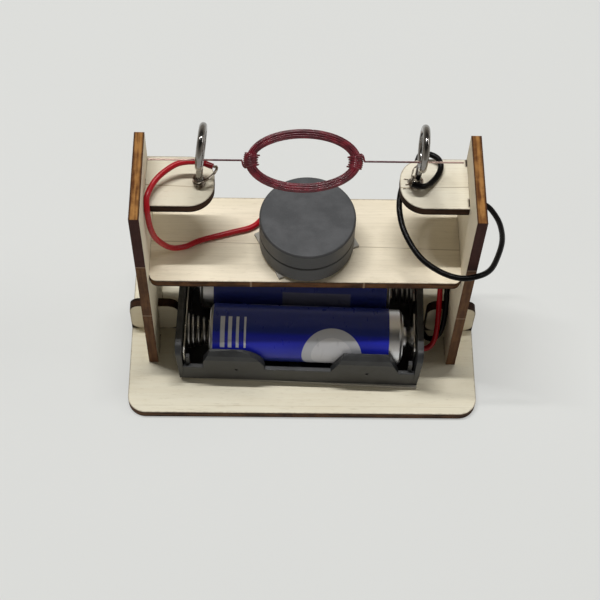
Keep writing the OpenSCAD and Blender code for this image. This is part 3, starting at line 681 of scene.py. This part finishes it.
def plyShader(name, thin, s, low, high, outline):
    # thin is the axis across the sheet; outline is its low and high corner in the other two
    shader = Shader(name, specularIorLevel=0.15)
    here = shader.place()
    axes = shader.axes(here)
    facing = shader.facing()
    flat = [i for i in range(3) if i != thin]
    u, v = axes[flat[0]], axes[flat[1]]
    along = 2 if thin == 0 else 0  # the grain runs upright on the side plates
    across = next(i for i in flat if i != along)
    face = facing[thin].math("ABSOLUTE").fade(0.5, 0.75)
    edge = s["edge"]

    def grained(mark):
        length, width = plywood[mark]
        scale = [1] * 3
        scale[along] = 1 / length
        scale[across] = 1 / width
        moved = shader.node("VectorMath", {"operation": "ADD"},
                            [here, (s["seed"], s["seed"] * 1.7, s["seed"] * 2.3)])
        return shader.stretch(moved, scale)

    # face veneer: broad bands, fine grain and short pores
    bands = shader.noise(grained("bands"), 1, 3, 0.5, 0.6)
    fine = shader.noise(grained("fine"), 1, 4, 0.6, 0.3)
    pores = shader.noise(grained("pores"), 1, 2, 0.5).fade(0.63, 0.74)
    # painted light and shade: the tint scales the piece's colour; on the base it is the piece's own
    # tone, while the shelf and right bracket are made paler and the left bracket and right plate
    # darker to stand in for how they are lit
    pale = [c * part for c, part in zip(plywood["pale"], s.get("tint", (1, 1, 1)))]
    wood = shader.mix(bands.fade(0.3, 0.75) * plywood["bandShare"], pale, plywood["warm"])
    wood = shader.mix(fine.fade(0.42, 0.78) * plywood["fineShare"], wood, plywood["warm"])
    wood = shader.mix(pores * plywood["poreShare"], wood, plywood["dark"])

    # dark lines along the grain, which sway a little and fade in places: hairlines on the base and
    # shelf, and on each bracket a painted shadow of the axle wire
    sway = shader.noise(grained("sway"), 1, 2) * 0.5 - 0.25
    broken = shader.noise(grained("gaps"), 1, 2).fade(0.34, 0.54) * 0.55 + 0.45
    for middle, slope, width, strength in s.get("lines", ()):
        off = (axes[across] - axes[along] * slope - middle + sway).math("ABSOLUTE")
        line = (1 - off.fade(width * 0.4, width)) * broken * strength
        wood = shader.mix(line, wood, plywood["dark"])

    # scorched rims, and char inside the small slots
    inset = edgeDistance(shader, u, v, *outline, s["radius"])
    for corners in s.get("slots", ()):
        inset = inset.math("MINIMUM", slotInset(u, v, *corners))
    ragged = inset + (shader.noise(here, 1.1, 3) - 0.5) * 0.35
    burn = 1 - ragged.fade(0.02, plywood["scorchWidth"])
    wood = shader.mix(burn * plywood["scorchShare"], wood, plywood["scorch"])
    wood = shader.mix(inset.fade(0.05, -0.15), wood, plywood["char"])

    burnt, mottled = burntEdge(shader, here, axes, thin, low, high, edge)
    if "under" in edge:
        # painted shade: edge faces that look to the front or back get darker shade colours, and
        # those that look up keep the lit burnt colour
        upward = facing[2].fade(0.4, 0.8).math("MAXIMUM", axes[2].fade(*edge["kink"]))
        lower = axes[2].fade(edge["change"] + 0.3, edge["change"] - 0.3)
        shade = shader.mix(lower, edge["under"], edge["lower"])
        shade = shader.mix(mottled * 0.5, shade, [c * 0.5 for c in edge["under"]])
        burnt = shader.mix(upward, shade, burnt)
    for middle, width in edge.get("ticks", ()):
        tick = (axes[edge["tickAxis"]] - middle).math("ABSOLUTE").fade(width, width * 0.3)
        burnt = shader.mix(tick * plywood["tickShare"], burnt, plywood["tick"])
    shader.set("baseColor", shader.mix(face, burnt, wood))
    shader.set("roughness", 0.7 - face * 0.12 + fine * 0.1)
    striated = shader.stretch(here, [0.25 if i == thin else 3.2 for i in range(3)])
    relief = fine * 0.5 - pores * 0.5 + (1 - face) * shader.noise(striated, 1, 2)
    shader.set("normal", shader.bump(relief, 0.05, shader.rounded(plywood["roundedEdge"])))
    return shader


def flatOutline(name, thin):
    low, high = (Vector(corner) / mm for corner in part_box(name))
    flat = [i for i in range(3) if i != thin]
    return [low[i] for i in flat], [high[i] for i in flat]


# how the cut edges are burnt; ticks are pale places where the cut stopped, and their half width
burntFront = {
    "dark": (0.013, 0.0048, 0.0022),
    "light": (0.046, 0.018, 0.007),
    "rim": 0.5,
    "rimColour": (0.006, 0.0035, 0.002),
}
shelfEdge = {
    "dark": (0.045, 0.017, 0.007),
    "light": (0.145, 0.062, 0.022),
    "rim": 0.7,
    "rimColour": (0.022, 0.010, 0.006),
    "tickAxis": 0,
    "ticks": [(-13.1, 0.35), (14.1, 0.35)],
}
plateEdge = {
    "dark": (0.105, 0.034, 0.008),
    "light": (0.36, 0.172, 0.048),
    "rim": 0.9,
    "rimColour": (0.042, 0.016, 0.008),
    "under": (0.062, 0.022, 0.017),
    "lower": (0.155, 0.074, 0.032),
    "change": 50,  # the height at which the darker painted shade gives way to the lighter lower one
    "kink": (76.6, 79.4),  # from the first height to the second the painted shade gives way to the lit colour of the top
    "tickAxis": 2,
    "ticks": [(50, 0.25), (27, 0.25)],
}
baseEdge = {
    "dark": (0.028, 0.012, 0.007),
    "light": (0.125, 0.058, 0.026),
    "rim": 0.6,
    "rimColour": (0.014, 0.008, 0.005),
}

# where tabs come through the sheets: the low and high corner of each slot
footSlots = [((x, low), (x + 2.4, low + 5)) for x in (-40, 37.6) for low in (-5, 8)]
shelfSlots = [((low, 38.4), (low + 5, 40.8)) for low in (-4.5, 7.5)]
bracketSlots = [((low, 59.2), (low + 2.6, 61.6)) for low in (2.1, 9)]
# small scorched nicks where the brackets meet their plates
leftNicks = [((-38.4, 13.2), (-37.7, 15.2))]
rightNicks = [((37.2, 13.6), (38.2, 15.6)), ((37.3, 2.3), (38.2, 4.4))]

# a line is its middle, slope, half width and strength
# tints on the shelf, brackets and right plate are painted light and shade
plyPieces = {
    "base_plate": {
        "thin": 2, "radius": 4.7, "seed": 3.1, "edge": baseEdge, "tint": (0.97, 1, 1.02),
        "slots": footSlots, "lines": [(-20.5, 0, 0.12, 0.3)],
    },
    "shelf": {
        "thin": 2, "radius": 2, "seed": 8.4, "edge": shelfEdge, "tint": (1.13, 1.11, 1.11),
        "lines": [(4.4, -0.025, 0.14, 0.75)],
    },
    # on each bracket the line is a painted shadow of the axle wire
    "left_bracket": {
        "thin": 2, "radius": 6, "seed": 15.2, "edge": burntFront, "tint": (0.88, 0.9, 0.92),
        "slots": leftNicks, "lines": [(6.1, -0.036, 0.18, 1.3)],
    },
    "right_bracket": {
        "thin": 2, "radius": 6, "seed": 21.9, "edge": burntFront, "tint": (1.07, 1.1, 1.15),
        "slots": rightNicks, "lines": [(6.9, 0.025, 0.15, 0.8)],
    },
    "left_foot": {"thin": 1, "radius": 2.8, "seed": 27.5, "edge": burntFront},
    "right_foot": {"thin": 1, "radius": 2.8, "seed": 33.3, "edge": burntFront},
    "left_side_plate": {
        "thin": 0, "radius": 0.2, "seed": 41.2, "edge": plateEdge,
        "slots": shelfSlots + bracketSlots,
    },
    "right_side_plate": {
        "thin": 0, "radius": 0.2, "seed": 52.6, "edge": plateEdge, "tint": (0.92, 0.89, 0.87),
        "slots": shelfSlots + bracketSlots,
    },
}
for name, piece in plyPieces.items():
    thin = piece["thin"]
    low, high = flatOutline(name, thin)
    # no corner is rounded where a bracket meets its plate
    if name == "left_bracket":
        low[0] -= plywood["past"]
    if name == "right_bracket":
        high[0] += plywood["past"]
    sheetLow, sheetHigh = (corner[thin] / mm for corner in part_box(name))
    shader = plyShader(name.title().replace("_", ""), thin, piece, sheetLow, sheetHigh, (low, high))
    dressNodes(shader, name)
print("plywood grained")


eyes = {
    "pitch": 0.62,
    "stepsPerTurn": 24,
    "threadTop": 3.2,
    "threadBottom": -2.9,
    "coreRadius": 0.78,
    "ridge": 0.1,
    "dull": (0.14, 0.13, 0.12),
    "bright": (0.42, 0.40, 0.375),
}

chrome = Shader("brightNickel", metallic=1.0)
chromePlace = chrome.place()
tarnish = chrome.noise(chrome.stretch(chromePlace, (1.2, 0.4, 0.4)), 1, 4)
dents = chrome.noise(chrome.stretch(chromePlace, (1.5, 0.5, 0.5)), 1.2, 3)
chrome.set("baseColor", chrome.mix(tarnish, eyes["dull"], eyes["bright"]))
chrome.set("roughness", 0.07 + chrome.noise(chromePlace, 0.7, 4) * 0.13)
chrome.set("normal", chrome.bump(dents, 0.1))
dressNodes(chrome, "left_screw_eye", "right_screw_eye")


def makeThread(name, side, s):
    height = s["threadTop"] - s["threadBottom"]
    steps = int(height / s["pitch"] * s["stepsPerTurn"])
    points = []
    for i in range(steps + 1):
        z = s["threadBottom"] + height * i / steps
        angle = math.tau * z / s["pitch"]
        points.append(onScrew(side, (s["coreRadius"] * math.cos(angle),
                                     s["coreRadius"] * math.sin(angle), z)))
    thread = makeTubes(name, [points], s["ridge"], sides=1)
    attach(thread, "stand")
    dress(thread, chrome)


makeThread("leftThread", -1, eyes)
makeThread("rightThread", 1, eyes)
print("screw eyes threaded")


magnets = {
    "middle": (0.3, 5.1),
    "radius": 11.5,
    "rim": (0.5, 0.1),  # how far in from the edge the painted shade at the rim starts and is full
    "rimShadeShare": 0.6,
    "gritShare": 0.3,
    "coatDark": (0.052, 0.054, 0.057),
    "coatLight": (0.076, 0.078, 0.082),
    "grit": (0.14, 0.14, 0.145),
    "worn": (0.032, 0.030, 0.030),
}

ferrite = Shader("ferrite", specularIorLevel=0.32)
ferritePlace = ferrite.place()
magnetX, magnetY = ferrite.axes(ferritePlace)[:2]
fromAxis = ((magnetX - magnets["middle"][0]).math("POWER", 2)
            + (magnetY - magnets["middle"][1]).math("POWER", 2)).math("SQRT")
smudge = ferrite.noise(ferrite.stretch(ferritePlace, (0.2, 0.26, 0.24)), 1, 5, 0.6)
grit = ferrite.noise(ferritePlace, 4.5, 3)
# painted shade: a darker band round the edge of the magnets, which covers their sides and a thin
# ring at the edge of the top
rimShade = fromAxis.fade(*(magnets["radius"] - inward for inward in magnets["rim"]))
coat = ferrite.mix(smudge.fade(0.32, 0.7), magnets["coatDark"], magnets["coatLight"])
coat = ferrite.mix(grit.fade(0.6, 0.75) * magnets["gritShare"], coat, magnets["grit"])
coat = ferrite.mix(rimShade * magnets["rimShadeShare"], coat, magnets["worn"])
ferrite.set("baseColor", coat)
ferrite.set("roughness", 0.36 + smudge * 0.22)
ferrite.set("normal", ferrite.bump(grit * 0.4 + smudge, 0.06, ferrite.rounded(0.3)))
dressNodes(ferrite, "lower_magnet", "upper_magnet")

pads = {"pore": 3.2, "side": (0.30, 0.285, 0.25), "top": (0.58, 0.56, 0.51)}

foam = Shader("foamTape", roughness=0.8)
pores = foam.node("TexVoronoi", {"feature": "F1"},
                  {"Vector": foam.place(), "Scale": pads["pore"]}).out("Distance")
# painted light: faces that look up are mixed towards the lighter top colour, and the sides keep the
# darker side colour
upward = foam.facing()[2].fade(0.4, 0.7)
foam.set("baseColor", foam.mix(upward * 0.5 + pores * 0.2, pads["side"], pads["top"]))
foam.set("normal", foam.bump(pores, 0.08))
dressNodes(foam, "magnet_pad", "holder_foam_pad")
print("magnets coated")


holder = {
    "dark": (0.014, 0.0145, 0.0155),
    "worn": (0.030, 0.031, 0.033),
    "roundedEdge": 0.2,
}

moulding = Shader("blackMoulding", specularIorLevel=0.4)
mouldPlace = moulding.place()
grain = moulding.noise(mouldPlace, 3.5, 3)
wear = moulding.noise(mouldPlace, 0.25, 4)
moulding.set("baseColor", moulding.mix(wear.fade(0.35, 0.7), holder["dark"], holder["worn"]))
moulding.set("roughness", 0.36 + wear * 0.2)
moulding.set("normal", moulding.bump(grain, 0.02, moulding.rounded(holder["roundedEdge"])))
dressNodes(moulding, "cell_holder")


# places on a sleeve are along the cell from its middle, and around it from its top to the front
cellLook = {
    "radius": 7.25,
    "bandFrom": (3.2, 4.4),
    "bandTo": (10.5, 12),
    "stripes": 4,
    "firstStripe": -19.6,
    "stripePitch": 1.9,
    "stripeHalf": 0.62,
    "stripeThinner": 0.1,  # each stripe is thinner than the last
    "stripeSoft": 0.1,
    "stripesFrom": (-0.6, -0.3),
    "stripesTo": (7.8, 8),
    "discPlace": (8.2, 9.6),
    "discEdge": (7.7, 7.55),
    "discInner": (5.3, 5.15),
    "patchPlace": (-4, -10),
    "patchLong": (9, 8.6),
    "patchWide": (4, 3.7),
    "patchShare": 0.6,
    "scuffShare": 0.25,
    "patch": (0.15, 0.155, 0.17),
    "navy": (0.020, 0.031, 0.185),
    "blue": (0.015, 0.022, 0.38),
    "grey": (0.50, 0.51, 0.54),
    "white": (0.62, 0.62, 0.64),
    "scuff": (0.05, 0.055, 0.09),
    "steel": (0.70, 0.70, 0.71),
}


def cellShader(name, row, s):
    shader = Shader(name, specularIorLevel=0.3)
    here = shader.place()
    turned = shader.inFrame(here, springs["holder"],
                            (0, 0, math.radians(springs["turn"] + (180 if row > 0 else 0))))
    local = shader.node("VectorMath", {"operation": "SUBTRACT"},
                        [turned, (0, -springs["rowY"], springs["axisZ"])])
    x, y, z = shader.axes(local)
    around = (y * -1).math("ARCTAN2", z) * s["radius"]
    band = around.fade(*s["bandFrom"]) * (1 - around.fade(*s["bandTo"]))
    body = shader.mix(band, s["navy"], s["blue"])
    reach = around.fade(*s["stripesFrom"]) * (1 - around.fade(*s["stripesTo"]))
    for k in range(s["stripes"]):
        half = s["stripeHalf"] - s["stripeThinner"] * k
        off = (x - (s["firstStripe"] + s["stripePitch"] * k)).math("ABSOLUTE")
        body = shader.mix(off.fade(half, half - s["stripeSoft"]) * reach, body, s["grey"])
    offX, offAround = x - s["discPlace"][0], around - s["discPlace"][1]
    disc = (offX * offX + offAround * offAround).math("SQRT")
    body = shader.mix(disc.fade(*s["discEdge"]), body, s["grey"])
    body = shader.mix(disc.fade(*s["discInner"]), body, s["white"])
    patchX = (x - s["patchPlace"][0]).math("ABSOLUTE").fade(*s["patchLong"])
    patchAround = (around - s["patchPlace"][1]).math("ABSOLUTE").fade(*s["patchWide"])
    body = shader.mix(patchX * patchAround * s["patchShare"], body, s["patch"])
    scuff = shader.noise(shader.stretch(here, (0.6, 0.25, 0.25)), 1, 4)
    body = shader.mix(scuff.fade(0.62, 0.8) * s["scuffShare"], body, s["scuff"])
    shader.set("baseColor", body)
    shader.set("roughness", 0.2 + scuff * 0.22)
    shader.set("normal", shader.bump(scuff, 0.05))
    return shader


dressNodes(cellShader("frontSleeve", -1, cellLook), "front_cell_sleeve")
dressNodes(cellShader("rearSleeve", 1, cellLook), "rear_cell_sleeve")

steel = Shader("cellSteel", metallic=1.0, baseColor=cellLook["steel"])
steelPlace = steel.place()
steel.set("roughness", 0.26 + steel.noise(steel.stretch(steelPlace, (2, 0.2, 0.2)), 1, 3) * 0.2)
drawn = steel.noise(steel.stretch(steelPlace, (3, 0.3, 0.3)), 1, 3)
steel.set("normal", steel.bump(drawn, 0.03, steel.rounded(0.15)))
for row in ("front", "rear"):
    dressNodes(steel, row + "_cell_can", row + "_cell_button", row + "_cell_base_cap")
print("cells sleeved")


# shares are of the light that makes a level white sheet white
stage = {
    "floorReach": 3000,
    "floorColour": (0.702, 0.71, 0.692),
    "floorLight": 1.03,  # how much lighter its pale clouds are
    "floorGlow": 0.55,  # how much of the floor's paleness is its own, for rays that see it
    "horizon": (0.40, 0.375, 0.335),
    "zenith": (0.02, 0.019, 0.017),
    "zenithFrom": 0.15,
    "zenithFull": 0.9,
    "tube": {"place": (-210, 217, 1500), "size": (990, 34), "share": 0.83},
    "window": {"place": (1500, 130, 1150), "size": (800, 600), "share": 0.09},
}


class WorldShader(Shader):
    def __init__(self, name):
        self.material = bpy.data.worlds.new(name)
        self.material.use_nodes = True
        self.tree = self.material.node_tree
        self.surface = self.tree.nodes["Background"]


def makeFloor(s):
    reach = s["floorReach"]
    floor = makeMesh("floor", [(-reach, -reach, 0), (reach, -reach, 0), (reach, reach, 0),
                               (-reach, reach, 0)], [(0, 1, 2, 3)])
    paper = Shader("floorPaper", roughness=0.9)
    tone = paper.noise(paper.place(), 0.01, 2)
    lighter = [c * s["floorLight"] for c in s["floorColour"]]
    colour = paper.mix(tone, s["floorColour"], lighter)
    paper.set("baseColor", colour)
    rays = paper.node("LightPath")
    seen = (rays.out("Is Camera Ray") + rays.out("Is Glossy Ray")
            + rays.out("Is Transmission Ray")).math("MINIMUM", 1)
    glow = paper.node("Emission", inputs={"Color": colour, "Strength": 1})
    lit = Value(paper, paper.surface.outputs["BSDF"])
    mixed = paper.node("MixShader", inputs=[seen * s["floorGlow"], lit, glow])
    paper.feed(paper.tree.nodes["Material Output"].inputs["Surface"], mixed)
    dress(floor, paper)


def makeLamp(name, s, aimed):
    # an area lamp that lights a level white sheet at the origin to its share of white
    lamp = bpy.data.objects.new(name, bpy.data.lights.new(name, "AREA"))
    far = Vector(s["place"]) * mm
    slant = far.normalized().z
    lamp.data.shape = "RECTANGLE"
    lamp.data.size, lamp.data.size_y = (side * mm for side in s["size"])
    lamp.data.energy = s["share"] * math.pi ** 2 * far.length_squared / slant ** (1 if aimed else 2)
    lamp.location = far
    if aimed:
        lamp.rotation_euler = far.to_track_quat("Z", "Y").to_euler()
    bpy.context.scene.collection.objects.link(lamp)


def makeWorld(s):
    # the room is darker overhead than at the horizon
    room = WorldShader("softRoom")
    height = room.axes(room.node("TexCoord").out("Generated"))[2].math("ABSOLUTE")
    overhead = height.fade(s["zenithFrom"], s["zenithFull"])
    room.feed(room.surface.inputs["Color"], room.mix(overhead, s["horizon"], s["zenith"]))
    bpy.context.scene.world = room.material


makeFloor(stage)
makeWorld(stage)
makeLamp("ceilingTube", stage["tube"], False)
makeLamp("window", stage["window"], True)
bpy.context.scene.view_settings.view_transform = "Standard"
print("floor and light set")
